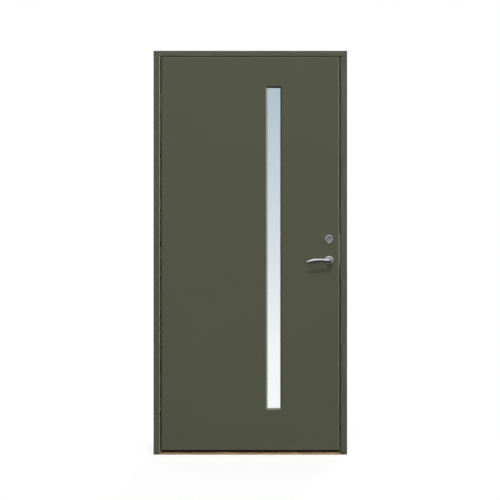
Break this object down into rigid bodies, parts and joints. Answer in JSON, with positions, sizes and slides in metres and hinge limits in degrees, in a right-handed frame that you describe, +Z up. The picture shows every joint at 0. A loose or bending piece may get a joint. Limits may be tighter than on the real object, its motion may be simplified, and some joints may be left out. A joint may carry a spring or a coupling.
{
  "type": "front door with frame",
  "caption": "Flush olive-green front door in its painted frame, with a slim upright window, a lever on a round rose, an oval cylinder ring and an oak threshold.",
  "frame": {"origin": "floor level, at the middle of the frame's width and of the leaf's thickness", "axes": "+X to the right seen from outside, +Y from outside to inside, +Z up"},
  "size_m": [0.99, 0.182, 2.065],
  "materials": {
    "frame_paint": "satin",
    "leaf_paint": "satin",
    "guard_paint": "satin",
    "oak": "satin",
    "raw_timber": "matte",
    "foam": "matte",
    "black_rubber": "matte",
    "black_plastic": "matte",
    "clear_glass": "gloss",
    "spacer_metal": "satin",
    "zinc_steel": "satin",
    "stainless": "satin",
    "bolt_metal": "satin",
    "lever_chrome": "gloss",
    "cylinder_metal": "satin"
  },
  "bodies": {
    "frame": {"frame_head": "frame_paint", "hinge_jamb": "frame_paint", "lock_jamb": "frame_paint", "threshold": "oak", "door_stops": "frame_paint", "frame_seal": "black_rubber", "frame_screws": "zinc_steel", "strike_plate": "stainless", "strike_screws": "zinc_steel", "hinge_pins": "zinc_steel", "bracket_screws": "zinc_steel", "hinge_bracket_bottom": "zinc_steel", "hinge_bracket_middle": "zinc_steel", "hinge_bracket_top": "zinc_steel"},
    "leaf": {"outer_skin": "leaf_paint", "inner_skin": "leaf_paint", "hinge_stile": "leaf_paint", "lock_stile": "leaf_paint", "top_rail": "leaf_paint", "bottom_rail": "leaf_paint", "window_stud_left": "raw_timber", "window_stud_right": "raw_timber", "window_head_block": "raw_timber", "window_sill_block": "raw_timber", "insulation_wide": "foam", "insulation_narrow": "foam", "outer_pane": "clear_glass", "middle_pane": "clear_glass", "inner_pane": "clear_glass", "glass_spacers": "spacer_metal", "glazing_seals": "black_rubber", "bottom_sweep": "black_rubber", "side_beads": "leaf_paint", "end_beads": "leaf_paint", "setting_blocks": "black_plastic", "plate_screws": "zinc_steel", "lock_case": "zinc_steel", "lock_cover": "zinc_steel", "lock_forend": "stainless", "edge_screws": "zinc_steel", "latch_guard": "guard_paint", "outside_rose": "lever_chrome", "inside_rose": "lever_chrome", "rose_bolts": "zinc_steel", "cylinder_ring": "cylinder_metal", "cylinder_housing": "cylinder_metal", "thumb_rose": "lever_chrome", "hinge_arm_bottom": "zinc_steel", "hinge_arm_middle": "zinc_steel", "hinge_arm_top": "zinc_steel"},
    "lever": {"outside_lever": "lever_chrome", "inside_lever": "lever_chrome", "spindle": "zinc_steel", "follower": "zinc_steel"},
    "latch": {"latch_bolt": "bolt_metal"},
    "turn": {"key_plug": "cylinder_metal", "turn_bar": "zinc_steel", "turn_cam": "zinc_steel", "thumb_turn": "lever_chrome"},
    "deadbolt": {"deadbolt": "bolt_metal"}
  },
  "joints": [
    {"name": "leaf_swing", "type": "hinge", "parent": "frame", "child": "leaf", "pos_m": [-0.476, -0.0185, 1.028], "axis": [0, 0, -1], "range_deg": [0, 95]},
    {"name": "lever_turn", "type": "hinge", "parent": "leaf", "child": "lever", "pos_m": [0.403, 0, 0.991], "axis": [0, -1, 0], "range_deg": [0, 40], "stiffness_Nm_per_rad": 2, "springref_deg": -28.65},
    {"name": "latch_slide", "type": "slide", "parent": "leaf", "child": "latch", "axis": [1, 0, 0], "range_m": [0, 0.012]},
    {"name": "thumb_turn", "type": "hinge", "parent": "leaf", "child": "turn", "pos_m": [0.403, 0, 1.096], "axis": [0, 1, 0], "range_deg": [0, 90]},
    {"name": "deadbolt_slide", "type": "slide", "parent": "leaf", "child": "deadbolt", "axis": [1, 0, 0], "range_m": [0, 0.02]}
  ],
  "couplings": [
    {"joint": "deadbolt_slide", "follows": "thumb_turn", "m_per_rad": 0.01273}
  ]
}
